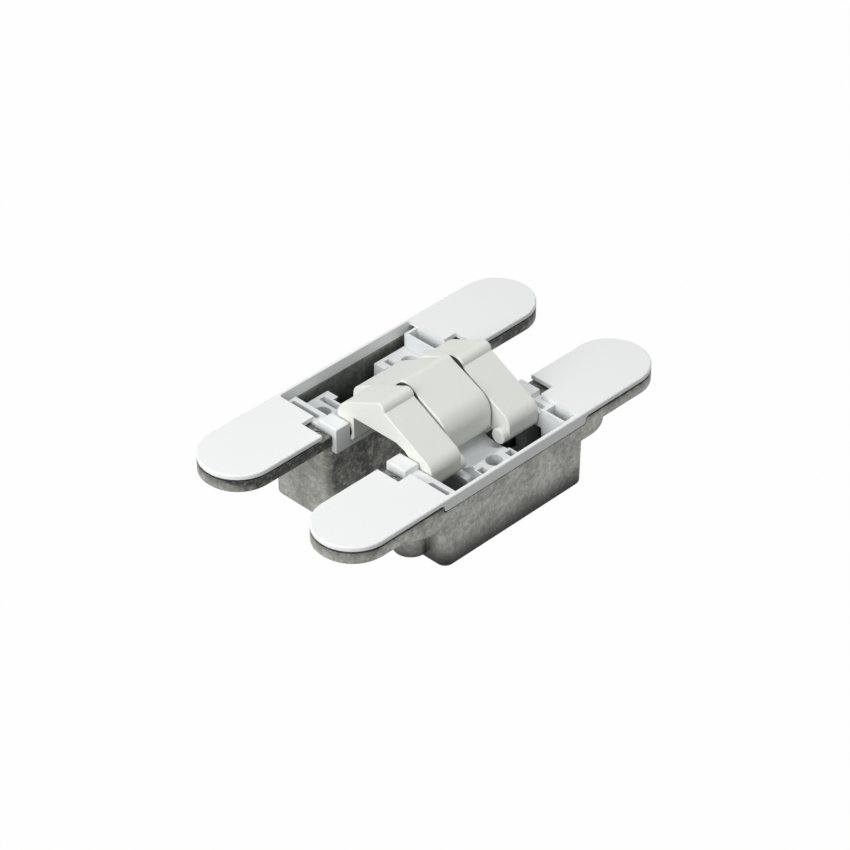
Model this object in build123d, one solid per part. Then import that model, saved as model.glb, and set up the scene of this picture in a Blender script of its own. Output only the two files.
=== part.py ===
from build123d import *
from math import asin, atan2, cos, degrees, hypot, pi, radians, sin
import os

# Concealed door hinge, open at 180 degrees, with the back of its deeper frame leaf on Z = 0.
# X runs from the frame leaf to the door leaf, Y along the hinge and Z up; sizes are in millimetres.
# Drops are measured down from the covers' top faces, which lie in one plane when the hinge is open.

# Leaves
leaf_length = 130.0
leaf_width = 24.0
open_gap = 22.0
frame_depth = 34.0
door_depth = 24.6

# Clip-on covers
cover_thickness = 1.45
cover_foot_height = 0.8
cover_foot_inset = 1.2
cover_foot_width = 1.2
cover_edge_round = 0.45
window_inset = 1.1
window_corner = 1.0
notch_length = 5.0
notch_depth = 8.5
strip_width = 1.1
skirt_overhang = 1.3
skirt_drop = 3.9
skirt_corner = 1.2
peg_radius = 1.5
peg_length = 4.0
peg_spacing = 94.0

# Die-cast bodies
wing_thickness = 4.15
wing_chamfer = 0.9
step_length = 88.5
step_drop = 10.8
step_round = 2.5
box_draft = 0.5
box_corner = 3.0
box_bottom_round = 1.0
end_rib_radius = 5.2
end_rib_offset = 1.1
end_rib_drop = 21.7
outer_wall = 1.0
inner_wall = 1.5
end_wall = 1.5
frame_inner_wall_drop = 8.0
door_inner_wall_drop = 9.6
cavity_length = 55.8
cavity_corner = 1.0
floor_thickness = 0.8
skirt_gap = 0.35
screw_hole_radius = 2.3
screw_head_radius = 4.4
inner_screw_spacing = 79.0
outer_screw_spacing = 109.0

# Crossed arms
pivot_offset = 12.0
pivot_drop = 2.8
apex_height = 7.5
closed_gap = 4.5
centre_arm_width = 18.4
outer_arm_width = 12.15
arm_gap = 0.65
knuckle_radius = 3.6
throat_offset = 8.9
shoulder_offset = 8.6
shoulder_height = 0.6
shoulder_radius = 7.0
bead_offset = 1.4
bead_height = 10.6
bead_radius = 2.2
slope_angle = 28.5
slope_setback = 1.2
web_radius = 4.3
bend_radius = 4.0
tip_radius = 2.5
tip_heel = 2.7
underside_height = 2.6
underside_reach = 8.0
tip_root_drop = 1.2
tip_root_slant = 3.0
arm_edge_round = 0.35

# Guide bosses on the arm tips, and the tracks that they run in
boss_offset = 19.7
boss_drop = 4.9
boss_radius = 2.4
outer_boss_length = 2.2
centre_boss_length = 2.0
boss_chamfer = 0.25
track_clearance = 0.25
track_points = 9
track_mouth_width = 3.25
track_mouth_reach = 24.5
track_mouth_drop = 9.0

# Pins, bushes and washers
pivot_pin_radius = 1.5
pivot_pin_inset = 0.75
main_pin_radius = 1.75
main_pin_inset = 1.5
pin_chamfer = 0.3
bush_wall = 0.85
washer_radius = 5.0
washer_gap = 0.1
running_clearance = 0.05
snug_clearance = 0.02

# Moulded carriages that hold the pivots and the tracks. They can be set along X by their travel to either
# side, and stand at the door end of it, so their sizes along X are given for the middle of the travel.
carriage_travel = 0.7
carriage_gap = 0.15
carriage_end_gap = 0.9
side_gap = 0.35
relief = 0.4
block_drop = 6.0
bridge_drop = 19.0
bridge_reach = 16.4
end_block_front = 10.1
end_block_back = 17.5
end_block_height = 0.6
end_block_drop = 7.7
end_block_round = 0.4
lip_gap = 0.3
shoulder_drop = 1.5
ledge_drop = 2.8
ledge_reach = 22.7
ledge_width = 2.2
pocket_wall = 0.9
pocket_depth = 8.0
slot_width = 1.6
slot_depth = 5.0
frame_pocket_start = 20.4
door_pocket_start = 24.1
lightening_length = 6.9
lightening_width = 2.0
lightening_offset = 13.3
lightening_centre = 27.6
square_pocket_length = 2.7
square_pocket_width = 2.3
square_pocket_offset = 5.8
square_pocket_centre = 26.8
block_pocket_depth = 5.0

# Adjusting screws beside the pivot blocks
adjuster_offset = 15.0
adjuster_inset = 2.1
adjuster_radius = 1.5
adjuster_length = 3.4
adjuster_sink = 0.3
adjuster_socket_width = 1.5
adjuster_socket_depth = 1.2

# Clamp screws, and the cast posts that they thread into
frame_clamp_offset = 25.2
door_clamp_offset = 26.3
frame_clamp_spacing = 36.0
clamp_head_radius = 2.5
clamp_head_height = 3.0
clamp_shank_radius = 1.5
clamp_seat_drop = 13.0
clamp_length = 9.0
clamp_socket_width = 2.5
clamp_socket_depth = 1.6
clamp_hole_clearance = 0.1
clamp_thread_clearance = 0.05
post_radius = 3.0
post_drop = 18.0

# How far a cut runs past the face that it breaks through, and how close counts as the same place
cut_margin = 1.0
same_place = 0.01

# Planes and lines worked out from the sizes above
face_z = frame_depth
inner_edge = open_gap / 2
outer_edge = inner_edge + leaf_width
leaf_centre = inner_edge + leaf_width / 2
cover_base_z = face_z - cover_thickness
wing_top_z = cover_base_z - cover_foot_height
wing_base_z = wing_top_z - wing_thickness
pivot_z = face_z - pivot_drop
apex_z = face_z + apex_height
boss_z = face_z - boss_drop
block_z = face_z - block_drop
outer_wall_face = outer_edge - outer_wall
adjuster_top_z = wing_top_z - adjuster_sink
adjuster_base_z = adjuster_top_z - adjuster_length
carriage_front = inner_edge + inner_wall + carriage_gap + carriage_travel
carriage_reach = outer_wall_face - carriage_end_gap - carriage_travel
centre_half = centre_arm_width / 2
outer_arm_start = centre_half + arm_gap
outer_arm_end = outer_arm_start + outer_arm_width
end_block_start = outer_arm_end + side_gap
end_block_end = cavity_length / 2 - carriage_gap
window_length = cavity_length - 2 * window_inset
skirt_length = cavity_length + 2 * skirt_overhang
box_length = cavity_length + 2 * end_wall
end_rib_spacing = box_length + 2 * end_rib_offset
adjuster_spacing = cavity_length + 2 * adjuster_inset
pivot_pin_length = 2 * (end_block_end - pivot_pin_inset)
main_pin_length = 2 * (outer_arm_end - main_pin_inset)
pocket_width = end_block_end - end_block_start - 2 * pocket_wall
frame_clamps = [(frame_clamp_offset, -frame_clamp_spacing / 2), (frame_clamp_offset, frame_clamp_spacing / 2)]
door_clamps = [(door_clamp_offset, 0)]

# Motion of the arms. As the door turns from open (0) to closed (pi), each outer arm turns about its
# frame pivot by turn_share of the door's angle, and the carriages stay mirror images about the apex.
link_length = hypot(pivot_offset, apex_height + pivot_drop)
link_start = atan2(apex_height + pivot_drop, pivot_offset)
arm_turn = pi - asin((closed_gap / 2 + pivot_drop) / link_length) - link_start
turn_share = arm_turn / pi
boss_length_from_apex = hypot(boss_offset, apex_height + boss_drop)
boss_start = atan2(-apex_height - boss_drop, boss_offset)


def apex_at(door_angle):
    """Where the apex stands over the +X carriage: its X, and its height above the covers."""
    angle = link_start + turn_share * door_angle
    return pivot_offset - link_length * cos(angle), link_length * sin(angle) - pivot_drop


def boss_at(door_angle):
    """The guide boss's centre in the +X carriage, as X and Z."""
    apex_x, apex_up = apex_at(door_angle)
    angle = boss_start - (1 - turn_share) * door_angle
    x = apex_x + boss_length_from_apex * cos(angle)
    return x, face_z + apex_up + boss_length_from_apex * sin(angle)


def across(profile, start, end):
    """Extrudes a profile drawn in X and Z from one Y to another."""
    return extrude(Plane.XZ.offset(-end) * profile, amount=end - start)


def upright(profile, bottom, top):
    """Extrudes a profile drawn in X and Y from one Z to another."""
    return extrude(Pos(0, 0, bottom) * profile, amount=top - bottom)


def block(x_range, y_range, z_range):
    """A plain block between three pairs of limits."""
    size = [limits[1] - limits[0] for limits in (x_range, y_range, z_range)]
    return Pos(x_range[0], y_range[0], z_range[0]) * Box(*size, align=Align.MIN)


def disc(x, z, radius, seam=90):
    """A circle drawn in X and Z; its seam stands at an angle where no outline touches it."""
    return Pos(x, z) * Rot(0, 0, seam) * Circle(radius)


def rod(x, z, radius, start, end):
    """A round bar along Y."""
    return across(disc(x, z, radius), start, end)


def hull(*sketches):
    """The outline that a band stretched round the sketches would take."""
    return make_hull([edge for sketch in sketches for edge in sketch.edges()])


def stadium(length, width):
    """A bar with round ends along Y, centred on the leaf."""
    return Pos(leaf_centre, 0) * Rot(0, 0, 90) * SlotOverall(length, width)


def folded(x, z):
    """Where a point of the arm that turns on the +X carriage's pivot lies when the hinge is closed."""
    run, rise = x - pivot_offset, z - pivot_z
    return (
        pivot_offset + run * cos(arm_turn) + rise * sin(arm_turn),
        pivot_z - run * sin(arm_turn) + rise * cos(arm_turn),
    )


def on_side(side, shape):
    """Pieces are drawn on the door leaf's side, +X, and mirrored for the frame leaf."""
    return shape if side > 0 else mirror(shape, about=Plane.YZ)


def adjusted(shape):
    """Moves a piece along with the carriages to the end of their travel."""
    return Pos(carriage_travel, 0, 0) * shape


def skirt_outline(margin):
    """The skirt's outline in Y and Z, with its S-shaped ends, grown by a margin at its lower edge."""
    half = skirt_length / 2 + margin
    bar = Pos(0, face_z - cover_thickness / 2) * Rectangle(leaf_length, cover_thickness)
    apron_drop = skirt_drop + margin
    apron = Pos(0, face_z - apron_drop / 2) * Rectangle(2 * half, apron_drop)
    joined = bar + apron
    bends = [v for v in joined.vertices() if abs(abs(v.X) - half) < same_place]
    joined = fillet(bends, skirt_corner)
    keep = Pos(0, face_z - apron_drop / 2) * Rectangle(2 * half + 4 * skirt_corner, apron_drop)
    return joined & keep


def make_cover():
    """A C-shaped moulding: two round end plates, the strip that joins them and the skirt below it."""
    plate = upright(stadium(leaf_length, leaf_width), cover_base_z, face_z)
    plate = fillet(plate.edges().group_by(Axis.Z)[-1], cover_edge_round)
    inner_limit = inner_edge - cut_margin
    window_half = window_length / 2
    window = block((inner_limit, outer_edge - strip_width), (-window_half, window_half), (0, 2 * face_z))
    window = fillet(window.edges().filter_by(Axis.Z).group_by(Axis.X)[-1], window_corner)
    notch_half = window_half + notch_length
    notch = block((inner_limit, inner_edge + notch_depth), (-notch_half, notch_half), (0, 2 * face_z))
    foot = offset(stadium(leaf_length, leaf_width), -cover_foot_inset)
    foot -= offset(stadium(leaf_length, leaf_width), -cover_foot_inset - cover_foot_width)
    foot = upright(foot, wing_top_z, cover_base_z)
    foot -= block((0, 2 * outer_edge), (-step_length / 2, step_length / 2), (0, 2 * face_z))
    skirt = extrude(Plane.YZ.offset(outer_edge - strip_width) * skirt_outline(0), amount=strip_width)
    skirt = skirt & block((0, outer_edge), (-leaf_length, leaf_length), (0, cover_base_z))
    pegs = upright(Circle(peg_radius), cover_base_z - peg_length, cover_base_z)
    cover = plate - window - notch + foot + skirt
    for y in (-peg_spacing / 2, peg_spacing / 2):
        cover += Pos(leaf_centre, y, 0) * pegs
    return cover


def make_lugs():
    """Cast lugs of the door leaf: a shallow step under its wings and a rib at each end of its box."""
    step = upright(stadium(step_length, leaf_width), face_z - step_drop, wing_top_z)
    lugs = [fillet(step.edges().group_by(Axis.Z)[0], step_round)]
    for y in (-end_rib_spacing / 2, end_rib_spacing / 2):
        rib = upright(Circle(end_rib_radius), face_z - end_rib_drop, wing_base_z)
        lugs.append(Pos(leaf_centre, y, 0) * rib)
    return lugs


def make_body(depth, inner_wall_drop, clamps, lugs):
    """The die-cast body: screw wings, the leaf's lugs and the deep box that holds the arms."""
    base_z = face_z - depth
    floor_z = base_z + floor_thickness
    wing = upright(stadium(leaf_length, leaf_width), wing_base_z, wing_top_z)
    wing = chamfer(wing.edges().group_by(Axis.Z)[0], wing_chamfer)
    lower = RectangleRounded(leaf_width, box_length - 2 * box_draft, box_corner)
    upper = RectangleRounded(leaf_width, box_length, box_corner)
    box = loft([Pos(leaf_centre, 0, base_z) * lower, Pos(leaf_centre, 0, wing_top_z) * upper])
    body = wing + fillet(box.edges().group_by(Axis.Z)[0], box_bottom_round)
    for lug in lugs:
        body += lug
    cavity_width = outer_wall_face - inner_edge - inner_wall
    cavity = Pos(outer_wall_face - cavity_width / 2, 0)
    cavity *= RectangleRounded(cavity_width, cavity_length, cavity_corner)
    body -= upright(cavity, floor_z, face_z)
    arm_way = (inner_edge - cut_margin, inner_edge + inner_wall + cavity_corner)
    body -= block(arm_way, (-cavity_length / 2, cavity_length / 2), (face_z - inner_wall_drop, face_z))
    skirt_seat = Plane.YZ.offset(outer_wall_face - cut_margin) * skirt_outline(skirt_gap)
    body -= extrude(skirt_seat, amount=outer_wall + 2 * cut_margin)
    for spacing in (inner_screw_spacing, outer_screw_spacing):
        for y in (-spacing / 2, spacing / 2):
            place = Pos(leaf_centre, y, wing_top_z)
            body -= place * CounterSinkHole(screw_hole_radius, screw_head_radius, depth=step_drop)
    for y in (-peg_spacing / 2, peg_spacing / 2):
        body -= Pos(leaf_centre, y, 0) * upright(Circle(peg_radius + clamp_hole_clearance), 0, face_z)
    for y in (-adjuster_spacing / 2, adjuster_spacing / 2):
        hole = upright(Circle(adjuster_radius + clamp_thread_clearance), adjuster_base_z, face_z)
        body -= Pos(adjuster_offset, y, 0) * hole
    post_top = face_z - post_drop
    for x, y in clamps:
        post = upright(Circle(post_radius), floor_z - floor_thickness / 2, post_top)
        thread = upright(Circle(clamp_shank_radius + clamp_thread_clearance), floor_z, post_top)
        body += Pos(x, y, 0) * post
        body -= Pos(x, y, 0) * thread
    return body


def track_outline():
    """A groove of even width along the guide boss's path, with round ends."""
    half = boss_radius + track_clearance
    angles = [pi * step / (track_points - 1) for step in range(track_points)]
    small = pi / 1000
    left, right = [], []
    for angle in angles:
        x, z = boss_at(angle)
        next_x, next_z = boss_at(angle + small)
        length = hypot(next_x - x, next_z - z)
        normal_x = (next_z - z) / length
        normal_z = (x - next_x) / length
        left.append((x - half * normal_x, z - half * normal_z))
        right.append((x + half * normal_x, z + half * normal_z))
    end_x, end_z = boss_at(pi)
    before_x, before_z = boss_at(pi - small)
    ahead = half / hypot(end_x - before_x, end_z - before_z)
    tip = (end_x + ahead * (end_x - before_x), end_z + ahead * (end_z - before_z))
    outline = Curve() + Spline(*left)
    outline += ThreePointArc(left[-1], tip, right[-1])
    outline += Spline(*reversed(right))
    outline += Line(right[0], left[0])
    return make_face(outline)


def knuckle_relief():
    """Room in the block tops for the arm that folds down over them."""
    knuckle = disc(pivot_offset, pivot_z, knuckle_radius + relief)
    shoulder = disc(*folded(shoulder_offset, face_z + shoulder_height), shoulder_radius + relief)
    bead = disc(*folded(-bead_offset, face_z + bead_height), bead_radius + relief)
    return hull(knuckle, shoulder, bead)


def make_carriage(depth, lanes, pocket_start):
    """One moulding per leaf: pivot blocks at the ends, track blocks in the lanes and a bridge between them."""
    outer = end_block_end
    floor_z = face_z - depth + floor_thickness
    body = block((carriage_front, bridge_reach), (-outer, outer), (floor_z, face_z - bridge_drop))
    for y_range in lanes:
        body += block((carriage_front, carriage_reach), y_range, (floor_z, block_z))
        body -= across(knuckle_relief(), *y_range)
    ends = [sorted((side * end_block_start, side * outer)) for side in (-1, 1)]
    for y_range in ends:
        body += block((carriage_front, carriage_reach), y_range, (floor_z, face_z - shoulder_drop))
    seat_width = carriage_reach - carriage_front
    seat = RectangleRounded(seat_width, 2 * outer, cavity_corner)
    body &= Pos(carriage_front + seat_width / 2, 0, 0) * upright(seat, 0, face_z)
    for y_range in ends:
        pivot_range = (face_z - end_block_drop, face_z + end_block_height)
        pivot = block((end_block_front, end_block_back), y_range, pivot_range)
        body += fillet(pivot.edges().group_by(Axis.Z)[-1], end_block_round)
    pin_half = pivot_pin_length / 2
    body -= rod(pivot_offset, pivot_z, pivot_pin_radius + snug_clearance, -pin_half, pin_half)
    pocket_end = carriage_reach - pocket_wall
    pocket_middle = (pocket_start + pocket_end) / 2
    pocket_y = end_block_start + pocket_wall + pocket_width / 2
    pocket = Pos(pocket_middle, pocket_y) * Rectangle(pocket_end - pocket_start, pocket_width)
    body -= upright(pocket, face_z - shoulder_drop - pocket_depth, face_z)
    slot_y = end_block_start + pocket_wall + slot_width
    slot = Pos(pocket_middle, -slot_y) * SlotOverall(pocket_end - pocket_start, slot_width)
    body -= upright(slot, face_z - shoulder_drop - slot_depth, face_z)
    return body


def drill_clamps(side, carriage, clamps):
    """Cuts a carriage's clamp holes where the posts of its leaf stand."""
    seat_z = face_z - clamp_seat_drop
    for x, y in clamps:
        place = Pos(side * x, y, 0)
        carriage -= place * upright(Circle(clamp_head_radius + clamp_hole_clearance), seat_z, face_z)
        carriage -= place * upright(Circle(clamp_shank_radius + clamp_hole_clearance), 0, seat_z)
        carriage -= place * upright(Circle(post_radius + carriage_gap), 0, face_z - post_drop)
    return carriage


def make_lip(lane, drop):
    """A thin shelf that reaches from a track block over the inner wall, below the arm's knuckle."""
    lip = block((end_block_front, carriage_front), lane, (face_z - drop, block_z))
    return lip - across(knuckle_relief(), *lane)


def make_frame_carriage():
    """Carriage of the frame leaf, drawn on +X: track blocks with lips in both outer lanes."""
    start = centre_half + side_gap
    lanes = [(start, end_block_start), (-end_block_start, -start)]
    body = make_carriage(frame_depth, lanes, frame_pocket_start)
    for lane in lanes:
        body += make_lip(lane, end_block_drop)
    track_end = centre_half + centre_boss_length + track_clearance
    for low, high in ((start - side_gap, track_end), (-track_end, side_gap - start)):
        body -= across(track_outline(), low, high)
    pocket = Rectangle(lightening_length, lightening_width)
    for side in (-1, 1):
        place = Pos(lightening_centre, side * lightening_offset)
        body -= upright(place * pocket, block_z - block_pocket_depth, block_z)
    return body


def make_door_carriage():
    """Carriage of the door leaf: a track block with a lip in the centre lane, and end blocks open below."""
    half = outer_arm_start - side_gap
    lane = (-half, half)
    body = make_carriage(door_depth, [lane], door_pocket_start)
    body += make_lip(lane, door_inner_wall_drop - lip_gap)
    track_end = outer_arm_start - outer_boss_length - track_clearance
    mouth_end = outer_arm_start - track_mouth_width
    mouth_z = (face_z - track_mouth_drop, face_z)
    for side in (-1, 1):
        body -= across(track_outline(), *sorted((side * track_end, side * outer_arm_start)))
        mouth_y = sorted((side * mouth_end, side * outer_arm_start))
        body -= block((bridge_reach, track_mouth_reach), mouth_y, mouth_z)
    pocket = Rectangle(square_pocket_length, square_pocket_width)
    for side in (-1, 1):
        place = Pos(square_pocket_centre, side * square_pocket_offset)
        body -= upright(place * pocket, block_z - block_pocket_depth, block_z)
    open_x = (end_block_back, door_pocket_start - pocket_wall)
    body -= block(open_x, (end_block_start, end_block_end), (0, face_z - end_block_drop))
    body -= block(open_x, (-end_block_end, -end_block_start), (0, face_z - end_block_drop))
    ledge_y = (end_block_start, end_block_start + ledge_width)
    body -= block((end_block_back, ledge_reach), ledge_y, (face_z - ledge_drop, face_z))
    return body


def arm_outline():
    """An outer arm seen along Y: a round shoulder over the frame pivot, a ridge bead and a leg to its tip."""
    slope = radians(slope_angle)
    slope_radius = bead_radius - slope_setback
    bead_z = face_z + bead_height
    under_z = face_z + underside_height
    bend_x = boss_offset + tip_radius - bend_radius
    bend_drop = (bend_radius - slope_radius + (bend_x - bead_offset) * sin(slope)) / cos(slope)
    knuckle = disc(-pivot_offset, pivot_z, knuckle_radius)
    shoulder = disc(-shoulder_offset, face_z + shoulder_height, shoulder_radius)
    head = hull(disc(bead_offset, bead_z, bead_radius, seam=-90), shoulder, knuckle)
    head -= Pos(0, pivot_z) * Rectangle(2 * leaf_width, face_z, align=(Align.CENTER, Align.MAX))
    head += knuckle
    head -= Pos(-throat_offset, under_z) * Rectangle(leaf_width, face_z, align=(Align.MIN, Align.MAX))
    web = disc(0, apex_z, web_radius)
    tip = disc(boss_offset, boss_z, tip_radius)
    bend = disc(bend_x, bead_z - bend_drop, bend_radius)
    heel = disc(boss_offset - tip_heel, boss_z + tip_heel, tip_radius)
    leg = hull(disc(bead_offset, bead_z, slope_radius), web, bend, heel, tip)
    tip_back = boss_offset - tip_heel - tip_radius
    below = Polyline(
        (-throat_offset, under_z),
        (underside_reach, under_z),
        (tip_back - tip_root_slant, under_z - tip_root_drop),
        (tip_back, face_z - tip_root_drop),
        (tip_back, 0),
        (-throat_offset, 0),
        close=True,
    )
    infill = Polyline((-throat_offset, under_z), (underside_reach, under_z), (0, apex_z), close=True)
    return head + make_face(infill) + (leg - make_face(below))


def soften(arm):
    """Rounds the outline edges of an arm's two flat sides."""
    sides = [arm.faces().sort_by(Axis.Y)[0], arm.faces().sort_by(Axis.Y)[-1]]
    return fillet([edge for side in sides for edge in side.edges()], arm_edge_round)


def make_boss(side, start, end):
    """A guide boss on an arm's tip, chamfered at its free end."""
    boss = rod(boss_offset, boss_z, boss_radius, start, end)
    free = boss.edges().group_by(Axis.Y)[0 if side < 0 else -1]
    return chamfer(free, boss_chamfer)


def make_outer_arm(side):
    """One leg of the fork, with its guide boss on the inner face."""
    low, high = sorted((side * outer_arm_start, side * outer_arm_end))
    arm = soften(across(arm_outline(), low, high))
    inner = outer_arm_start - outer_boss_length
    root = outer_arm_start + outer_arm_width / 2
    start, end = sorted((side * inner, side * root))
    arm += make_boss(-side, start, end)
    bush_hole = pivot_pin_radius + bush_wall + snug_clearance
    arm -= rod(-pivot_offset, pivot_z, bush_hole, low, high)
    pin_half = main_pin_length / 2
    start, end = sorted((side * (outer_arm_start - cut_margin), side * pin_half))
    return arm - rod(0, apex_z, main_pin_radius + snug_clearance, start, end)


def make_centre_arm():
    """The centre arm is the outer arms' mirror image, with a guide boss on each side."""
    arm = soften(across(arm_outline(), -centre_half, centre_half))
    reach = centre_half + centre_boss_length
    arm += make_boss(1, 0, reach)
    arm += make_boss(-1, -reach, 0)
    bush_fit = bush_wall + snug_clearance
    arm -= rod(-pivot_offset, pivot_z, pivot_pin_radius + bush_fit, -centre_half, centre_half)
    arm -= rod(0, apex_z, main_pin_radius + bush_fit, -centre_half, centre_half)
    return mirror(arm, about=Plane.YZ)


def make_pin(x, z, radius, length):
    """A plain steel pin along Y with chamfered ends."""
    pin = rod(x, z, radius, -length / 2, length / 2)
    return chamfer(pin.edges().filter_by(GeomType.CIRCLE), pin_chamfer)


def make_bush(x, z, pin_radius, start, end):
    """A plain bearing bush along Y, pressed in an arm."""
    sleeve = rod(x, z, pin_radius + bush_wall, start, end)
    return sleeve - rod(x, z, pin_radius + running_clearance, start, end)


def make_centre_bush(x, z, pin_radius):
    """A bush of the centre arm, as long as the arm is wide."""
    return make_bush(x, z, pin_radius, -centre_half, centre_half)


def make_outer_bush(start, end):
    """The bush of an outer arm on the frame pivot."""
    return make_bush(-pivot_offset, pivot_z, pivot_pin_radius, start, end)


def make_washer(side):
    """A thin washer on the main pin, between the centre arm and an outer arm."""
    start, end = sorted((side * (centre_half + washer_gap), side * (outer_arm_start - washer_gap)))
    washer = rod(0, apex_z, washer_radius, start, end)
    return washer - rod(0, apex_z, main_pin_radius + running_clearance, start, end)


def make_clamp_screw(x, y):
    """A socket-head screw that clamps a carriage down on its cast post."""
    seat_z = face_z - clamp_seat_drop
    head = upright(Circle(clamp_head_radius), seat_z, seat_z + clamp_head_height)
    head = chamfer(head.edges().group_by(Axis.Z)[-1], clamp_hole_clearance * 2)
    shank = upright(Circle(clamp_shank_radius), seat_z - clamp_length, seat_z)
    socket = RegularPolygon(clamp_socket_width / 2, 6, major_radius=False)
    top_z = seat_z + clamp_head_height
    return Pos(x, y, 0) * (head + shank - upright(socket, top_z - clamp_socket_depth, top_z))


def make_adjuster(y):
    """A socket set screw in the casting, reached through the cover's notch."""
    screw = upright(Circle(adjuster_radius), adjuster_base_z, adjuster_top_z)
    socket = RegularPolygon(adjuster_socket_width / 2, 6, major_radius=False)
    screw -= upright(socket, adjuster_top_z - adjuster_socket_depth, adjuster_top_z)
    return Pos(adjuster_offset, y, 0) * screw


FRAME, DOOR = -1, 1
nodes = {
    "frame_body": on_side(FRAME, make_body(frame_depth, frame_inner_wall_drop, frame_clamps, [])),
    "frame_cover": on_side(FRAME, make_cover()),
    "frame_carriage": drill_clamps(FRAME, adjusted(on_side(FRAME, make_frame_carriage())), frame_clamps),
    "frame_clamp_screw_left": on_side(FRAME, make_clamp_screw(*frame_clamps[0])),
    "frame_clamp_screw_right": on_side(FRAME, make_clamp_screw(*frame_clamps[1])),
    "frame_adjuster_left": on_side(FRAME, make_adjuster(-adjuster_spacing / 2)),
    "frame_adjuster_right": on_side(FRAME, make_adjuster(adjuster_spacing / 2)),
    "frame_pivot_pin": adjusted(make_pin(-pivot_offset, pivot_z, pivot_pin_radius, pivot_pin_length)),
    "outer_arm_left": adjusted(make_outer_arm(-1)),
    "outer_arm_right": adjusted(make_outer_arm(1)),
    "outer_arm_bush_left": adjusted(make_outer_bush(-outer_arm_end, -outer_arm_start)),
    "outer_arm_bush_right": adjusted(make_outer_bush(outer_arm_start, outer_arm_end)),
    "washer_left": adjusted(make_washer(-1)),
    "washer_right": adjusted(make_washer(1)),
    "main_pin": adjusted(make_pin(0, apex_z, main_pin_radius, main_pin_length)),
    "centre_arm": adjusted(make_centre_arm()),
    "centre_apex_bush": adjusted(make_centre_bush(0, apex_z, main_pin_radius)),
    "centre_pivot_bush": adjusted(make_centre_bush(pivot_offset, pivot_z, pivot_pin_radius)),
    "door_body": on_side(DOOR, make_body(door_depth, door_inner_wall_drop, door_clamps, make_lugs())),
    "door_cover": on_side(DOOR, make_cover()),
    "door_carriage": drill_clamps(DOOR, adjusted(on_side(DOOR, make_door_carriage())), door_clamps),
    "door_clamp_screw": on_side(DOOR, make_clamp_screw(*door_clamps[0])),
    "door_adjuster_left": on_side(DOOR, make_adjuster(-adjuster_spacing / 2)),
    "door_adjuster_right": on_side(DOOR, make_adjuster(adjuster_spacing / 2)),
    "door_pivot_pin": adjusted(make_pin(pivot_offset, pivot_z, pivot_pin_radius, pivot_pin_length)),
}

os.makedirs("parts", exist_ok=True)
for name, shape in nodes.items():
    shape.label = name
    export_step(shape, f"parts/{name}.step")

print("arm turn", round(degrees(arm_turn), 4), "share of the door's angle", round(turn_share, 6))
print("apex and second pivot follow the first by", round((1 - 2 * turn_share) / turn_share, 6), "and 1")
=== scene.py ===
"""Finishes a concealed door hinge on its CAD frame and lights it on a plain studio floor."""

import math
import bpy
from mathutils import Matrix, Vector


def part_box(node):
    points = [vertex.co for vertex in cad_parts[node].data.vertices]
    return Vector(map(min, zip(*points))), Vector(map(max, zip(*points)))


bl_info = {
    "name": "Concealed Door Hinge",
    "version": (1, 0, 0),
    "blender": (4, 5, 0),
    "location": "View3D > Sidebar > Hinge",
    "description": "Finishes the hinge's castings, covers, carriages and arms, and sets up the studio",
    "category": "Object",
}

import bpy
from bpy.props import FloatProperty, FloatVectorProperty, PointerProperty, StringProperty
from mathutils import Matrix, Vector

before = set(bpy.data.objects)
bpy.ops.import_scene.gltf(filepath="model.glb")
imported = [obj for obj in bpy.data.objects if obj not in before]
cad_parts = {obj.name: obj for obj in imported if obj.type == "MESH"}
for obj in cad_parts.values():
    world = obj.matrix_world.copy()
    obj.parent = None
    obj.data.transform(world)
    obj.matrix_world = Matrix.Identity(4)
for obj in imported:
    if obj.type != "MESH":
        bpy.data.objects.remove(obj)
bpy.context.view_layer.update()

# Heights of the covers' faces and of the door leaf's underside.
cover_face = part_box("door_cover")[1].z
door_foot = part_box("door_body")[0].z

MM = 0.001
COVERS = ("frame_cover", "door_cover")
CASTINGS = ("frame_body", "door_body")
CARRIAGES = ("frame_carriage", "door_carriage")
ARMS = ("outer_arm_left", "outer_arm_right", "centre_arm")
WASHERS = ("washer_left", "washer_right")
BUSHES = ("outer_arm_bush_left", "outer_arm_bush_right", "centre_apex_bush", "centre_pivot_bush")
PINS = ("frame_pivot_pin", "door_pivot_pin", "main_pin")
SCREWS = (
    "frame_clamp_screw_left",
    "frame_clamp_screw_right",
    "door_clamp_screw",
    "frame_adjuster_left",
    "frame_adjuster_right",
    "door_adjuster_left",
    "door_adjuster_right",
)

# Socket numbers of Blender's Mix node when it mixes colours, because its socket names repeat.
MIX_FACTOR, MIX_A, MIX_B, MIX_RESULT = 0, 6, 7, 2

# Blender's Wave texture repeats after this length, divided by its scale.
WAVE_LENGTH = math.tau / 20

# Width of the camera's sensor, in the millimetres that Blender's camera takes.
SENSOR_WIDTH = 36.0
NEAREST_SEEN = 50 * MM


def colour(name, description, default):
    """A property that holds one sRGB hex colour."""
    return StringProperty(name=name, description=description, default=default)


def size(name, description, millimetres):
    """A property that holds one size, written in millimetres and kept in metres."""
    metres = millimetres * MM
    return FloatProperty(name=name, description=description, default=metres, precision=6, unit="LENGTH")


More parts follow.
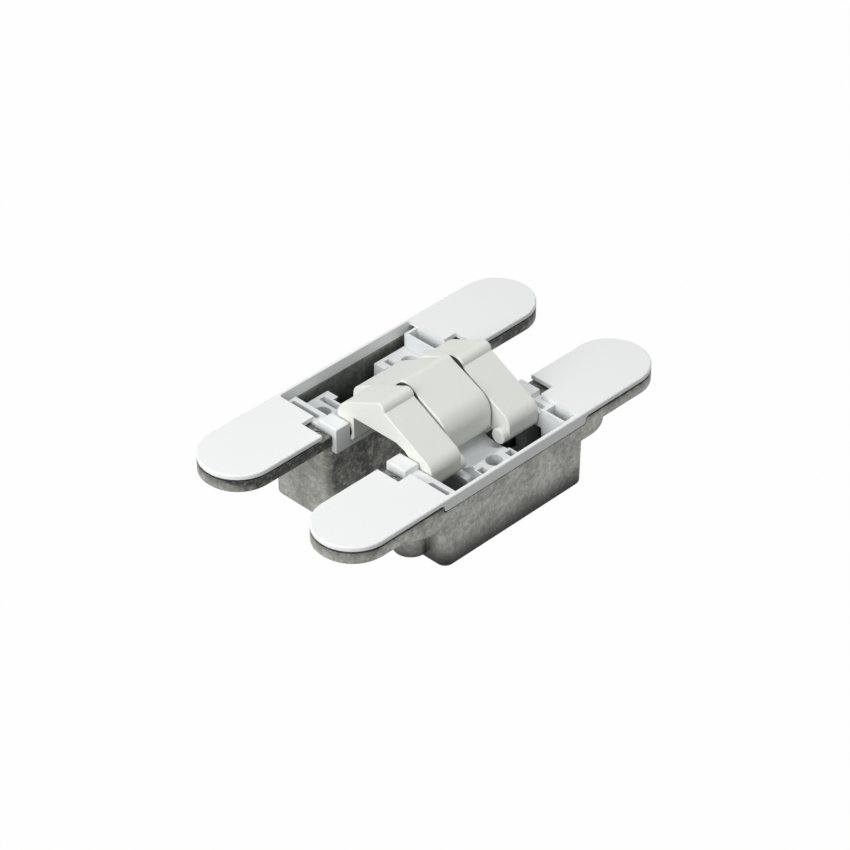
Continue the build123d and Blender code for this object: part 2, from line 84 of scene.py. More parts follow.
class HingeFinishes(bpy.types.PropertyGroup):
    """Colours and pattern sizes of the hinge's finishes, and of the light and shade painted on them."""

    cover_white: colour("Cover white", "Moulded covers", "#F2F5F4")
    cover_grain: size("Cover grain", "Spark-eroded grain of the covers' mould", 0.35)
    cover_relief: size("Cover relief", "Depth of that grain", 0.02)
    cover_edge: size("Cover edge", "Softness of the covers' edges", 0.25)
    # Painted light: the carriages are drawn whiter near the top.
    carriage_painted_light: colour("Carriage top", "Carriages at the top, where they are wiped clean", "#EBEFEF")
    carriage_white: colour("Carriage white", "Carriages further down", "#E4E8E9")
    carriage_cloud: colour("Carriage cloud", "Carriages where the resin flowed", "#DBDFE1")
    carriage_flow: size("Carriage flow marks", "Width of the cloudy marks where the resin flowed", 6.0)
    carriage_edge: size("Carriage edge", "Softness of the carriages' edges", 0.2)
    # Depths below the covers of that painted light.
    painted_light_top: size("Wiped top", "Depth below the covers to which the carriages are white", 1.0)
    painted_light_end: size("Wiped end", "Depth below the covers at which they are no longer wiped", 5.0)
    # Painted shade: the door leaf's carriage is drawn darker deep down, between the two depths that follow.
    carriage_painted_shade: colour("Grease", "Old grease deep in the door leaf's carriage", "#A2A6A9")
    painted_shade_top: size("Grease top", "Depth below the covers at which the grease begins", 8.4)
    painted_shade_full: size("Grease full", "Depth below the covers at which only grease shows", 11.0)
    arm_grey: colour("Arm grey", "Stoved enamel on the arms", "#EAECE5")
    arm_shade: colour("Arm shade", "Enamel where it lies thinner", "#E4E6DF")
    arm_peel: size("Orange peel", "Width of the ripples in the arms' enamel", 0.8)
    arm_relief: size("Orange peel relief", "Depth of those ripples", 0.03)
    washer_black: colour("Washer black", "Washers between the arms", "#1E2022")
    washer_grain: size("Washer grain", "Grain of the washers' moulding", 0.3)
    zinc_light: colour("Zinc, rubbed", "Casting where tumbling has rubbed it bright", "#CDCEC6")
    zinc_mid: colour("Zinc, as cast", "Dull skin of the casting", "#93948D")
    # Colour of the stains, and also of the painted shade that adds to them under the covers and between the
    # leaves.
    zinc_dark: colour("Zinc, stained", "Casting where release agent has stained it", "#3A3C37")
    zinc_patch: size("Stain patches", "Size of the casting's stain patches", 9.0)
    zinc_rub: size("Rubbed patches", "Size of the patches that tumbling has rubbed", 1.6)
    zinc_grit: size("Tumbling grit", "Size of the specks that tumbling leaves", 0.4)
    zinc_relief: size("Tumbling relief", "Depth of those specks", 0.06)
    zinc_edge: size("Zinc edge", "Softness of the castings' edges", 0.4)
    # Painted shadow of the covers' edges on the castings, darkest just under them.
    cover_shadow_top: size("Grime top", "Depth below the covers' faces at which their grime is darkest", 2.0)
    cover_shadow_end: size("Grime end", "Depth below the covers' faces at which the grime ends", 4.5)
    # Painted shade on the castings' faces that look at the other leaf.
    gap_start: size("Gap start", "From the hinge's middle to the faces that look at the other leaf", 12.4)
    gap_end: size("Gap end", "From the hinge's middle to where rounded ends turn away from the gap", 20.0)
    # Painted shade at the castings' lower edge, and the height it reaches.
    painted_foot_shade: colour("Foot stain", "Castings at their lower edge, where the bath drained", "#171B17")
    foot_height: size("Foot height", "Height to which the castings' lower edges are stained", 11.0)
    # Painted shade deep in the frame leaf's cavity, with the cavity's bounds and depths that follow.
    cavity_painted_shade: colour("Cavity", "Bottom of the frame leaf's cavity, where no grit reaches", "#2C3030")
    cavity_half_length: size("Cavity half length", "From mid-length to the cavity's end walls", 27.95)
    cavity_inner: size("Cavity inner side", "From the hinge's middle to the cavity's near wall", 12.4)
    cavity_outer: size("Cavity outer side", "From the hinge's middle to the cavity's far wall", 34.05)
    cavity_floor: size("Cavity floor", "Thickness of casting below the cavity that stays light", 0.4)
    cavity_top: size("Cavity top", "Depth below the covers at which the cavity begins to darken", 3.0)
    cavity_bottom: size("Cavity bottom", "Depth below the covers at which the cavity is darkest", 16.0)
    steel: colour("Steel", "Pins and screws", "#A9ABAD")
    steel_turning: size("Turning marks", "Spacing of the lathe's marks on pins and screws", 0.2)
    steel_relief: size("Turning relief", "Depth of those marks", 0.01)
    bush_iron: colour("Bush iron", "Bearing bushes", "#6E6C68")
    bush_pore: size("Bush pores", "Pores that hold the bushes' oil", 0.25)
    bush_relief: size("Bush relief", "Depth of those pores", 0.03)


class HingeStage(bpy.types.PropertyGroup):
    """The floor, the lamps and the camera."""

    floor_colour: colour("Floor", "Pale studio floor, as it lights the hinge from below", "#8E8E8C")
    floor_side: size("Floor side", "Side of the square floor", 8000.0)
    floor_glow: FloatProperty(
        name="Floor glow",
        description="Share of the floor that the camera sees as white",
        default=0.99,
        min=0.0,
        max=1.0,
        subtype="FACTOR",
    )
    lamp_side: size("Lamp side", "Side of each square lamp", 400.0)
    front_place: FloatVectorProperty(
        name="Front place",
        description="Where the low lamp stands",
        default=(-0.06, -0.6, 0.3),
        subtype="TRANSLATION",
        unit="LENGTH",
    )
    front_power: FloatProperty(
        name="Front power", description="Low soft lamp in front", default=3.25, unit="POWER"
    )
    top_place: FloatVectorProperty(
        name="Top place",
        description="Where the high lamp hangs",
        default=(0.1, 0.1, 0.8),
        subtype="TRANSLATION",
        unit="LENGTH",
    )
    top_power: FloatProperty(name="Top power", description="Soft lamp overhead", default=2.2, unit="POWER")
    sky: FloatProperty(name="Sky", description="Even light from all round", default=0.32, min=0.0)
    azimuth: FloatProperty(
        name="Camera azimuth",
        description="Camera's place round the hinge",
        default=math.radians(44.38),
        unit="ROTATION",
    )
    elevation: FloatProperty(
        name="Camera elevation",
        description="Camera's angle above the floor",
        default=math.radians(36.4),
        unit="ROTATION",
    )
    distance: size("Camera distance", "From the middle of the covers' faces", 949.1)
    left: size("Camera left", "How far the camera stands left of that middle", 0.88)
    down: size("Camera down", "How far the camera stands below that middle", 5.78)
    lens: FloatProperty(name="Lens", description="Camera's focal length", default=139.7, unit="CAMERA")


def linear(hex_colour):
    """An sRGB hex colour as linear RGBA."""
    channels = [int(hex_colour[i : i + 2], 16) / 255 for i in (1, 3, 5)]
    return [c / 12.92 if c <= 0.04045 else ((c + 0.055) / 1.055) ** 2.4 for c in channels] + [1.0]


def add(tree, kind, inputs, **settings):
    """Adds a node. Each input takes a value, or another node's output to link from."""
    node = tree.nodes.new(kind)
    for name, value in settings.items():
        setattr(node, name, value)
    for name, value in inputs.items():
        if isinstance(value, bpy.types.NodeSocket):
            tree.links.new(value, node.inputs[name])
        else:
            node.inputs[name].default_value = value
    return node


def new_material(name):
    """An empty node material, with its tree and its object coordinates in metres."""
    material = bpy.data.materials.new(name)
    material.use_nodes = True
    tree = material.node_tree
    tree.nodes.clear()
    return material, tree, add(tree, "ShaderNodeTexCoord", {}).outputs["Object"]


def depth_below_covers(tree, axes):
    """Depth below the covers' faces."""
    return add(tree, "ShaderNodeMath", {0: cover_face, 1: axes["Z"]}, operation="SUBTRACT").outputs["Value"]


ABS_IOR = 1.53
ABS_SMOOTHEST, ABS_ROUGHEST = 0.3, 0.44
ABS_BUMP = 0.2


def moulded_abs(look):
    # Moulded ABS from a finely spark-eroded tool: a cool white with a soft, even sheen and hardly any
    # texture.
    material, tree, place = new_material("moulded_abs")
    grain = {"Vector": place, "Scale": 1 / look.cover_grain, "Detail": 3.0}
    grain = add(tree, "ShaderNodeTexNoise", grain).outputs["Fac"]
    sheen = {"Value": grain, "To Min": ABS_SMOOTHEST, "To Max": ABS_ROUGHEST}
    sheen = add(tree, "ShaderNodeMapRange", sheen).outputs["Result"]
    edge = add(tree, "ShaderNodeBevel", {"Radius": look.cover_edge}).outputs["Normal"]
    bump = {"Height": grain, "Strength": ABS_BUMP, "Distance": look.cover_relief, "Normal": edge}
    bump = add(tree, "ShaderNodeBump", bump).outputs["Normal"]
    inputs = {"Base Color": linear(look.cover_white), "Roughness": sheen, "IOR": ABS_IOR, "Normal": bump}
    shader = add(tree, "ShaderNodeBsdfPrincipled", inputs)
    add(tree, "ShaderNodeOutputMaterial", {"Surface": shader.outputs["BSDF"]})
    return material


NYLON_IOR = 1.53
NYLON_SMOOTHEST, NYLON_ROUGHEST = 0.42, 0.55


def moulded_nylon(look):
    # Moulded nylon: duller and bluer than the covers, with faint cloudy marks where the resin flowed.
    # Painted light draws it whiter on top, and painted shade draws it dark deep in the door leaf's
    # carriage.
    material, tree, place = new_material("moulded_nylon")
    axes = add(tree, "ShaderNodeSeparateXYZ", {"Vector": place}).outputs
    flow = {"Vector": place, "Scale": 1 / look.carriage_flow, "Detail": 4.0}
    flow = add(tree, "ShaderNodeTexNoise", flow).outputs["Fac"]
    depth = depth_below_covers(tree, axes)
    # Painted light: whiter near the top.
    painted_light = {"Value": depth, "From Min": look.painted_light_end, "From Max": look.painted_light_top}
    painted_light = add(tree, "ShaderNodeMapRange", painted_light).outputs["Result"]
    # Painted shade deep in the door leaf's carriage.
    painted_shade = {"Value": depth, "From Min": look.painted_shade_top, "From Max": look.painted_shade_full}
    painted_shade = add(tree, "ShaderNodeMapRange", painted_shade).outputs["Result"]
    door_side = add(tree, "ShaderNodeMath", {0: axes["X"], 1: 0.0}, operation="GREATER_THAN")
    painted_shade = {0: painted_shade, 1: door_side.outputs["Value"]}
    painted_shade = add(tree, "ShaderNodeMath", painted_shade, operation="MULTIPLY").outputs["Value"]
    # Resin flow marks, then painted light near the top, then painted shade deep in the door leaf's
    # carriage.
    coats = ((flow, look.carriage_cloud), (painted_light, look.carriage_painted_light), (painted_shade, look.carriage_painted_shade))
    tint = linear(look.carriage_white)
    for amount, coat in coats:
        mixed = {MIX_FACTOR: amount, MIX_A: tint, MIX_B: linear(coat)}
        tint = add(tree, "ShaderNodeMix", mixed, data_type="RGBA").outputs[MIX_RESULT]
    sheen = {"Value": flow, "To Min": NYLON_SMOOTHEST, "To Max": NYLON_ROUGHEST}
    sheen = add(tree, "ShaderNodeMapRange", sheen).outputs["Result"]
    edge = add(tree, "ShaderNodeBevel", {"Radius": look.carriage_edge}).outputs["Normal"]
    inputs = {"Base Color": tint, "Roughness": sheen, "IOR": NYLON_IOR, "Normal": edge}
    shader = add(tree, "ShaderNodeBsdfPrincipled", inputs)
    add(tree, "ShaderNodeOutputMaterial", {"Surface": shader.outputs["BSDF"]})
    return material


ENAMEL_IOR = 1.5
ENAMEL_ROUGHNESS = 0.48
ENAMEL_BUMP = 0.25


def stoved_enamel(look):
    # Stoved enamel on zinc: a warm light grey, satin, with the faint ripple that sprayed enamel dries to.
    material, tree, place = new_material("stoved_enamel")
    peel = {"Vector": place, "Scale": 1 / look.arm_peel, "Detail": 2.0}
    peel = add(tree, "ShaderNodeTexNoise", peel).outputs["Fac"]
    mixed = {MIX_FACTOR: peel, MIX_A: linear(look.arm_grey), MIX_B: linear(look.arm_shade)}
    tint = add(tree, "ShaderNodeMix", mixed, data_type="RGBA").outputs[MIX_RESULT]
    bump = {"Height": peel, "Strength": ENAMEL_BUMP, "Distance": look.arm_relief}
    bump = add(tree, "ShaderNodeBump", bump).outputs["Normal"]
    inputs = {"Base Color": tint, "Roughness": ENAMEL_ROUGHNESS, "IOR": ENAMEL_IOR, "Normal": bump}
    shader = add(tree, "ShaderNodeBsdfPrincipled", inputs)
    add(tree, "ShaderNodeOutputMaterial", {"Surface": shader.outputs["BSDF"]})
    return material


# The dull skin hides part of the metal.
ZINC_METALLIC = 0.7
ZINC_ROUGHEST, ZINC_SMOOTHEST = 0.62, 0.36
ZINC_BUMP = 0.5
# Noise at which each mark on the zinc starts, and at which it is full.
STAIN_AND_SHADE_START, STAIN_AND_SHADE_END = 0.4, 1.0
RUB_START, RUB_END = 0.35, 0.7
SPECK_START, SPECK_END = 0.56, 0.72
CLEANED_START, CLEANED_END = 0.5, 0.66
# Share of the colour that a full mark hides, and of the stain and painted shade left where tumbling has
# cleaned it.
RUB_SHARE = 0.6
SPECK_SHARE = 0.55
STAIN_AND_SHADE_LEFT = 0.65
# Painted shade under the covers' edges, and where the leaves face each other: what it adds to the stain
# noise.
COVER_SHADOW_SHARE = 0.3
GAP_SHADE_SHARE = 0.4


def height_above_foot(tree, axes, door_side):
    """Height over the castings' lower faces, each measured from its own."""
    foot = add(tree, "ShaderNodeMath", {0: door_side, 1: door_foot}, operation="MULTIPLY").outputs["Value"]
    return add(tree, "ShaderNodeMath", {0: axes["Z"], 1: foot}, operation="SUBTRACT").outputs["Value"]


def cavity_depth(tree, axes, above_foot, look):
    """Painted shade: 0 outside the cavity of the frame leaf that the arms fold into, rising to 1 at its
    bottom.
    """
    middle = (look.cavity_inner + look.cavity_outer) / 2
    half_width = (look.cavity_outer - look.cavity_inner) / 2
    limits = (
        ({0: axes["X"], 1: -middle, 2: half_width}, "COMPARE"),
        ({0: axes["Y"], 1: 0.0, 2: look.cavity_half_length}, "COMPARE"),
        ({0: above_foot, 1: look.cavity_floor}, "GREATER_THAN"),
    )
    depth = depth_below_covers(tree, axes)
    inside = {"Value": depth, "From Min": look.cavity_top, "From Max": look.cavity_bottom}
    inside = add(tree, "ShaderNodeMapRange", inside).outputs["Result"]
    for limit, operation in limits:
        within = add(tree, "ShaderNodeMath", limit, operation=operation).outputs["Value"]
        inside = add(tree, "ShaderNodeMath", {0: inside, 1: within}, operation="MULTIPLY").outputs["Value"]
    return inside


def shade_at_foot(tree, normal, door_side, above_foot, look):
    """Painted shade, rising to 1 at the castings' lower edge, on the frame leaf's long sides and round the
    door leaf.
    """
    long_side = add(tree, "ShaderNodeMath", {0: normal["X"]}, operation="ABSOLUTE").outputs["Value"]
    level = add(tree, "ShaderNodeMath", {0: normal["Z"]}, operation="ABSOLUTE").outputs["Value"]
    upright = add(tree, "ShaderNodeMath", {0: door_side, 1: level}, operation="SUBTRACT").outputs["Value"]
    side = add(tree, "ShaderNodeMath", {0: long_side, 1: upright}, operation="MAXIMUM").outputs["Value"]
    low = {"Value": above_foot, "From Max": look.foot_height, "To Min": 1.0, "To Max": 0.0}
    low = add(tree, "ShaderNodeMapRange", low, interpolation_type="SMOOTHSTEP").outputs["Result"]
    return add(tree, "ShaderNodeMath", {0: low, 1: side}, operation="MULTIPLY").outputs["Value"]


def added_painted_shade(tree, axes, sideways, look):
    """How much painted shade adds to the stains under the covers' edges and where the leaves face each
    other.
    """
    depth = depth_below_covers(tree, axes)
    # Painted shadow just under the covers' edges.
    cover_shadow = {"Value": depth, "From Min": look.cover_shadow_end, "From Max": look.cover_shadow_top, "To Max": COVER_SHADOW_SHARE}
    cover_shadow = add(tree, "ShaderNodeMapRange", cover_shadow).outputs["Result"]
    # Painted shade on faces that look at the other leaf.
    leaf = add(tree, "ShaderNodeMath", {0: axes["X"]}, operation="SIGN").outputs["Value"]
    outward = add(tree, "ShaderNodeMath", {0: sideways, 1: leaf}, operation="MULTIPLY").outputs["Value"]
    facing = {"Value": outward, "From Min": 0.0, "From Max": -1.0, "To Max": GAP_SHADE_SHARE}
    facing = add(tree, "ShaderNodeMapRange", facing).outputs["Result"]
    across = add(tree, "ShaderNodeMath", {0: axes["X"]}, operation="ABSOLUTE").outputs["Value"]
    near = {"Value": across, "From Min": look.gap_end, "From Max": look.gap_start}
    near = add(tree, "ShaderNodeMapRange", near).outputs["Result"]
    gap = add(tree, "ShaderNodeMath", {0: facing, 1: near}, operation="MULTIPLY").outputs["Value"]
    return add(tree, "ShaderNodeMath", {0: cover_shadow, 1: gap}, operation="ADD").outputs["Value"]


def stain_and_shade_share(tree, patch, rub, more):
    """How far stains hide the zinc, with the painted shade that adds to them, less where it is rubbed."""
    stain_and_shade = add(tree, "ShaderNodeMath", {0: patch, 1: more}, operation="ADD").outputs["Value"]
    stain_and_shade = {"Value": stain_and_shade, "From Min": STAIN_AND_SHADE_START, "From Max": STAIN_AND_SHADE_END}
    stain_and_shade = add(tree, "ShaderNodeMapRange", stain_and_shade).outputs["Result"]
    left = {
        "Value": rub,
        "From Min": CLEANED_START,
        "From Max": CLEANED_END,
        "To Min": 1.0,
        "To Max": STAIN_AND_SHADE_LEFT,
    }
    left = add(tree, "ShaderNodeMapRange", left).outputs["Result"]
    return add(tree, "ShaderNodeMath", {0: stain_and_shade, 1: left}, operation="MULTIPLY").outputs["Value"]


def tumbled_zinc(look):
    # Die-cast zinc, tumbled and left bare: dull grey skin, dark stains and bright specks where the grit
    # rubbed it, with painted shade at the foot, under the covers' edges, between the leaves and in the
    # frame leaf's cavity.
    material, tree, place = new_material("tumbled_zinc")
    axes = add(tree, "ShaderNodeSeparateXYZ", {"Vector": place}).outputs
    normal = add(tree, "ShaderNodeTexCoord", {}).outputs["Normal"]
    normal = add(tree, "ShaderNodeSeparateXYZ", {"Vector": normal}).outputs
    door_side = add(tree, "ShaderNodeMath", {0: axes["X"], 1: 0.0}, operation="GREATER_THAN")
    door_side = door_side.outputs["Value"]
    above_foot = height_above_foot(tree, axes, door_side)
    patch = {
        "Vector": place,
        "Scale": 1 / look.zinc_patch,
        "Detail": 5.0,
        "Roughness": 0.6,
        "Distortion": 0.6,
    }
    patch = add(tree, "ShaderNodeTexNoise", patch).outputs["Fac"]
    rub = {"Vector": place, "Scale": 1 / look.zinc_rub, "Detail": 6.0, "Roughness": 0.7}
    rub = add(tree, "ShaderNodeTexNoise", rub).outputs["Fac"]
    grit = {"Vector": place, "Scale": 1 / look.zinc_grit, "Detail": 2.0}
    grit = add(tree, "ShaderNodeTexNoise", grit).outputs["Fac"]
    rubbed = {"Value": rub, "From Min": RUB_START, "From Max": RUB_END, "To Max": RUB_SHARE}
    rubbed = add(tree, "ShaderNodeMapRange", rubbed).outputs["Result"]
    specks = {"Value": grit, "From Min": SPECK_START, "From Max": SPECK_END, "To Max": SPECK_SHARE}
    specks = add(tree, "ShaderNodeMapRange", specks).outputs["Result"]
    # Stains and painted shade together.
    stained_and_shaded = stain_and_shade_share(tree, patch, rub, added_painted_shade(tree, axes, normal["X"], look))
    # Rubbed patches and specks, then stains with painted shade, then painted shade at the foot and in the
    # cavity.
    coats = (
        (rubbed, look.zinc_light),
        (specks, look.zinc_light),
        (stained_and_shaded, look.zinc_dark),
        (shade_at_foot(tree, normal, door_side, above_foot, look), look.painted_foot_shade),
        (cavity_depth(tree, axes, above_foot, look), look.cavity_painted_shade),
    )
    skin = linear(look.zinc_mid)
    for amount, coat in coats:
        mixed = {MIX_FACTOR: amount, MIX_A: skin, MIX_B: linear(coat)}
        skin = add(tree, "ShaderNodeMix", mixed, data_type="RGBA").outputs[MIX_RESULT]
    dullness = {"Value": rub, "To Min": ZINC_ROUGHEST, "To Max": ZINC_SMOOTHEST}
    dullness = add(tree, "ShaderNodeMapRange", dullness).outputs["Result"]
    edge = add(tree, "ShaderNodeBevel", {"Radius": look.zinc_edge}).outputs["Normal"]
    bump = {"Height": grit, "Strength": ZINC_BUMP, "Distance": look.zinc_relief, "Normal": edge}
    bump = add(tree, "ShaderNodeBump", bump).outputs["Normal"]
    inputs = {"Base Color": skin, "Metallic": ZINC_METALLIC, "Roughness": dullness, "Normal": bump}
    shader = add(tree, "ShaderNodeBsdfPrincipled", inputs)
    add(tree, "ShaderNodeOutputMaterial", {"Surface": shader.outputs["BSDF"]})
    return material


STEEL_SMOOTHEST, STEEL_ROUGHEST = 0.22, 0.36
STEEL_BUMP = 0.15


def turned_steel(name, axis, look):
    # Turned steel, oiled: bright, with rings from the lathe round the piece's axis. They are drawn coarser
    # than real, because real ones would be too fine to show.
    material, tree, place = new_material(name)
    rings = {"Vector": place, "Scale": WAVE_LENGTH / look.steel_turning, "Distortion": 0.4}
    rings = add(tree, "ShaderNodeTexWave", rings, bands_direction=axis).outputs["Fac"]
    sheen = {"Value": rings, "To Min": STEEL_SMOOTHEST, "To Max": STEEL_ROUGHEST}
    sheen = add(tree, "ShaderNodeMapRange", sheen).outputs["Result"]
    bump = {"Height": rings, "Strength": STEEL_BUMP, "Distance": look.steel_relief}
    bump = add(tree, "ShaderNodeBump", bump).outputs["Normal"]
    inputs = {"Base Color": linear(look.steel), "Metallic": 1.0, "Roughness": sheen, "Normal": bump}
    shader = add(tree, "ShaderNodeBsdfPrincipled", inputs)
    add(tree, "ShaderNodeOutputMaterial", {"Surface": shader.outputs["BSDF"]})
    return material


IRON_ROUGHEST, IRON_SMOOTHEST = 0.5, 0.35
IRON_BUMP = 0.4


def sintered_iron(look):
    # Sintered iron soaked in oil: a dull dark metal with pores.
    material, tree, place = new_material("sintered_iron")
    pores = {"Vector": place, "Scale": 1 / look.bush_pore}
    pores = add(tree, "ShaderNodeTexVoronoi", pores).outputs["Distance"]
    bump = {"Height": pores, "Strength": IRON_BUMP, "Distance": look.bush_relief}
    bump = add(tree, "ShaderNodeBump", bump).outputs["Normal"]
    sheen = {"Value": pores, "To Min": IRON_ROUGHEST, "To Max": IRON_SMOOTHEST}
    sheen = add(tree, "ShaderNodeMapRange", sheen).outputs["Result"]
    inputs = {"Base Color": linear(look.bush_iron), "Metallic": 1.0, "Roughness": sheen, "Normal": bump}
    shader = add(tree, "ShaderNodeBsdfPrincipled", inputs)
    add(tree, "ShaderNodeOutputMaterial", {"Surface": shader.outputs["BSDF"]})
    return material


ACETAL_IOR = 1.48
ACETAL_SMOOTHEST, ACETAL_ROUGHEST = 0.4, 0.52


def moulded_acetal(look):
    # Black moulded acetal: dark, slightly waxy and even.
    material, tree, place = new_material("moulded_acetal")
    grain = {"Vector": place, "Scale": 1 / look.washer_grain, "Detail": 2.0}
    grain = add(tree, "ShaderNodeTexNoise", grain).outputs["Fac"]
    sheen = {"Value": grain, "To Min": ACETAL_SMOOTHEST, "To Max": ACETAL_ROUGHEST}
    sheen = add(tree, "ShaderNodeMapRange", sheen).outputs["Result"]
    inputs = {"Base Color": linear(look.washer_black), "Roughness": sheen, "IOR": ACETAL_IOR}
    shader = add(tree, "ShaderNodeBsdfPrincipled", inputs)
    add(tree, "ShaderNodeOutputMaterial", {"Surface": shader.outputs["BSDF"]})
    return material


def finish_nodes(names, material):
    """Gives CAD nodes a material."""
    for name in names:
        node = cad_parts[name]
        node.data.materials.clear()
        node.data.materials.append(material)


class HINGE_OT_covers(bpy.types.Operator):
    """Finishes the two clip-on covers in moulded ABS."""

    bl_idname = "hinge.covers"
    bl_label = "Covers"

    def execute(self, context):
        look = context.scene.hinge_finishes
        finish_nodes(COVERS, moulded_abs(look))
        return {"FINISHED"}


class HINGE_OT_castings(bpy.types.Operator):
    """Finishes the two die-cast bodies in tumbled zinc."""

    bl_idname = "hinge.castings"
    bl_label = "Castings"

    def execute(self, context):
        look = context.scene.hinge_finishes
        finish_nodes(CASTINGS, tumbled_zinc(look))
        return {"FINISHED"}


class HINGE_OT_carriages(bpy.types.Operator):
    """Finishes the two carriages in moulded nylon."""

    bl_idname = "hinge.carriages"
    bl_label = "Carriages"

    def execute(self, context):
        look = context.scene.hinge_finishes
        finish_nodes(CARRIAGES, moulded_nylon(look))
        return {"FINISHED"}


class HINGE_OT_arms(bpy.types.Operator):
    """Finishes the crossed arms in stoved enamel."""

    bl_idname = "hinge.arms"
    bl_label = "Arms"

    def execute(self, context):
        look = context.scene.hinge_finishes
        finish_nodes(ARMS, stoved_enamel(look))
        return {"FINISHED"}


class HINGE_OT_pins(bpy.types.Operator):
    """Finishes the pins, which lie along the hinge, in turned steel."""

    bl_idname = "hinge.pins"
    bl_label = "Pins"

    def execute(self, context):
        look = context.scene.hinge_finishes
        finish_nodes(PINS, turned_steel("turned_steel_pins", "Y", look))
        return {"FINISHED"}


class HINGE_OT_screws(bpy.types.Operator):
    """Finishes the clamp screws and adjusters, which stand upright, in turned steel."""

    bl_idname = "hinge.screws"
    bl_label = "Screws"

    def execute(self, context):
        look = context.scene.hinge_finishes
        finish_nodes(SCREWS, turned_steel("turned_steel_screws", "Z", look))
        return {"FINISHED"}


class HINGE_OT_bushes(bpy.types.Operator):
    """Finishes the arms' bearing bushes in sintered iron."""

    bl_idname = "hinge.bushes"
    bl_label = "Bushes"

    def execute(self, context):
        look = context.scene.hinge_finishes
        finish_nodes(BUSHES, sintered_iron(look))
        return {"FINISHED"}


class HINGE_OT_washers(bpy.types.Operator):
    """Finishes the washers between the arms in black moulded acetal."""

    bl_idname = "hinge.washers"
    bl_label = "Washers"

    def execute(self, context):
        look = context.scene.hinge_finishes
        finish_nodes(WASHERS, moulded_acetal(look))
        return {"FINISHED"}


def seen_directly(tree):
    """1 for rays that show the background itself: from the camera, a mirror or through glass."""
    path = add(tree, "ShaderNodeLightPath", {})
    first = {0: path.outputs["Is Camera Ray"], 1: path.outputs["Is Glossy Ray"]}
    either = add(tree, "ShaderNodeMath", first, operation="MAXIMUM")
    both = {0: either.outputs["Value"], 1: path.outputs["Is Transmission Ray"]}
    return add(tree, "ShaderNodeMath", both, operation="MAXIMUM").outputs["Value"]


def studio_paper(stage):
    # Seamless studio paper: matt and pale, and nearly white to the camera, with the hinge's soft shadow.
    material, tree, _ = new_material("studio_paper")
    paper = add(tree, "ShaderNodeBsdfDiffuse", {"Color": linear(stage.floor_colour)})
    white = add(tree, "ShaderNodeEmission", {"Strength": 1.0})
    share = add(tree, "ShaderNodeMath", {0: seen_directly(tree), 1: stage.floor_glow}, operation="MULTIPLY")
    mixed = {0: share.outputs["Value"], 1: paper.outputs["BSDF"], 2: white.outputs["Emission"]}
    shader = add(tree, "ShaderNodeMixShader", mixed)
    add(tree, "ShaderNodeOutputMaterial", {"Surface": shader.outputs["Shader"]})
    return material


def make_floor(stage):
    """A square floor under the hinge."""
    half = stage.floor_side / 2
    mesh = bpy.data.meshes.new("floor")
    corners = [(-half, -half, 0), (half, -half, 0), (half, half, 0), (-half, half, 0)]
    mesh.from_pydata(corners, [], [(0, 1, 2, 3)])
    mesh.materials.append(studio_paper(stage))
    floor = bpy.data.objects.new("floor", mesh)
    bpy.context.scene.collection.objects.link(floor)


def make_sky(stage):
    """An even sky that looks white and lights the hinge less than it looks."""
    world = bpy.data.worlds.new("studio_sky")
    world.use_nodes = True
    tree = world.node_tree
    tree.nodes.clear()
    strength = {"Value": seen_directly(tree), "To Min": stage.sky, "To Max": 1.0}
    strength = add(tree, "ShaderNodeMapRange", strength).outputs["Result"]
    sky = add(tree, "ShaderNodeBackground", {"Color": (1.0, 1.0, 1.0, 1.0), "Strength": strength})
    add(tree, "ShaderNodeOutputWorld", {"Surface": sky.outputs["Background"]})
    bpy.context.scene.world = world


def make_lamp(name, place, side, power, target):
    """A square soft lamp at its place, turned to look at a point."""
    lamp = bpy.data.lights.new(name, "AREA")
    lamp.shape = "SQUARE"
    lamp.size = side
    lamp.energy = power
    obj = bpy.data.objects.new(name, lamp)
    obj.location = place
    obj.rotation_mode = "QUATERNION"
    obj.rotation_quaternion = (Vector(target) - obj.location).to_track_quat("-Z", "Y")
    bpy.context.scene.collection.objects.link(obj)


def make_camera(stage, target):
    """A long lens that looks down at the middle of the covers' faces."""
    turn, rise = stage.azimuth, stage.elevation
    back = Vector((math.sin(turn) * math.cos(rise), -math.cos(turn) * math.cos(rise), math.sin(rise)))
    right = Vector((math.cos(turn), math.sin(turn), 0))
    up = back.cross(right)
    camera = bpy.data.cameras.new("camera")
    camera.lens = stage.lens
    camera.sensor_width = SENSOR_WIDTH
    camera.clip_start = NEAREST_SEEN
    obj = bpy.data.objects.new("camera", camera)
    place = Vector(target) + stage.distance * back - stage.left * right - stage.down * up
    obj.matrix_world = Matrix.Translation(place) @ Matrix((right, up, back)).transposed().to_4x4()
    bpy.context.scene.collection.objects.link(obj)
    bpy.context.scene.camera = obj


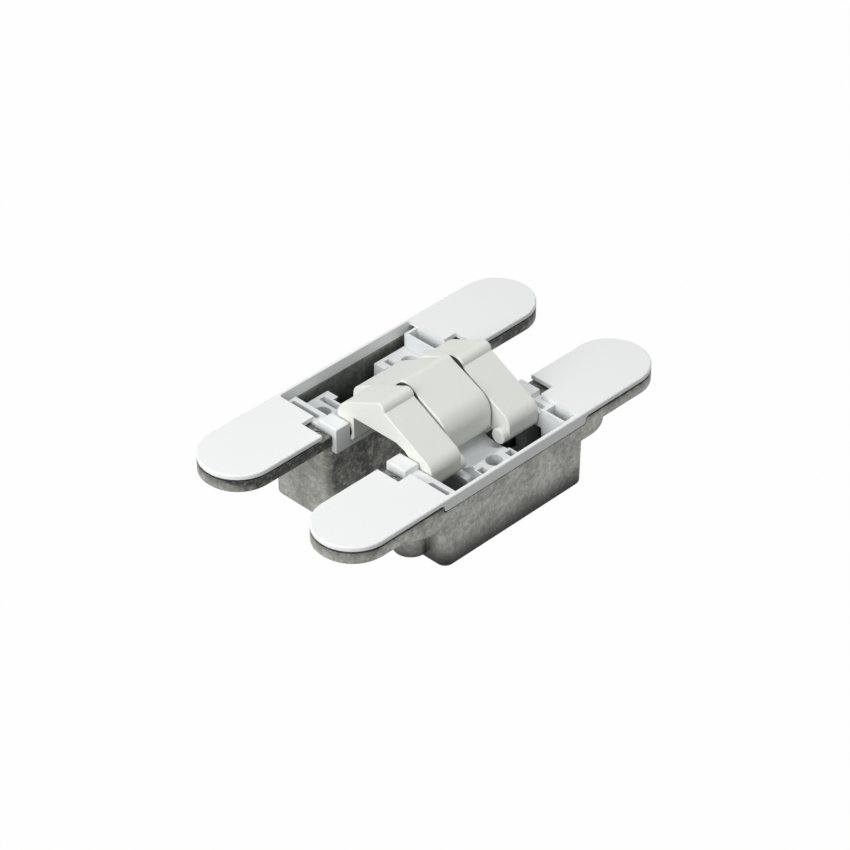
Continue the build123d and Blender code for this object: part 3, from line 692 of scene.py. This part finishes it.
class HINGE_OT_stage(bpy.types.Operator):
    """Sets up the floor, the lamps and the camera."""

    bl_idname = "hinge.stage"
    bl_label = "Stage"

    def execute(self, context):
        stage = context.scene.hinge_stage
        target = (0, 0, cover_face)
        make_floor(stage)
        make_sky(stage)
        make_lamp("front", stage.front_place, stage.lamp_side, stage.front_power, target)
        make_lamp("top", stage.top_place, stage.lamp_side, stage.top_power, target)
        make_camera(stage, target)
        context.scene.view_settings.view_transform = "Standard"
        return {"FINISHED"}


class HINGE_PT_panel(bpy.types.Panel):
    """Lists the hinge's finishes and its stage."""

    bl_label = "Concealed Hinge"
    bl_idname = "HINGE_PT_panel"
    bl_space_type = "VIEW_3D"
    bl_region_type = "UI"
    bl_category = "Hinge"

    def draw(self, context):
        for operator in OPERATORS:
            self.layout.operator(operator.bl_idname)
        for group in (context.scene.hinge_finishes, context.scene.hinge_stage):
            for name in group.__annotations__:
                self.layout.prop(group, name)


OPERATORS = (
    HINGE_OT_covers,
    HINGE_OT_castings,
    HINGE_OT_carriages,
    HINGE_OT_arms,
    HINGE_OT_pins,
    HINGE_OT_screws,
    HINGE_OT_bushes,
    HINGE_OT_washers,
    HINGE_OT_stage,
)
CLASSES = (HingeFinishes, HingeStage, *OPERATORS, HINGE_PT_panel)


def register():
    """Registers the classes and gives the scene their settings."""
    for cls in CLASSES:
        bpy.utils.register_class(cls)
    bpy.types.Scene.hinge_finishes = PointerProperty(type=HingeFinishes)
    bpy.types.Scene.hinge_stage = PointerProperty(type=HingeStage)


def unregister():
    """Takes the settings and the classes away again."""
    del bpy.types.Scene.hinge_stage
    del bpy.types.Scene.hinge_finishes
    for cls in reversed(CLASSES):
        bpy.utils.unregister_class(cls)


def main():
    """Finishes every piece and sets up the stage."""
    register()
    bpy.ops.hinge.covers()
    bpy.ops.hinge.castings()
    bpy.ops.hinge.carriages()
    bpy.ops.hinge.arms()
    bpy.ops.hinge.pins()
    bpy.ops.hinge.screws()
    bpy.ops.hinge.bushes()
    bpy.ops.hinge.washers()
    bpy.ops.hinge.stage()


if __name__ == "__main__":
    main()
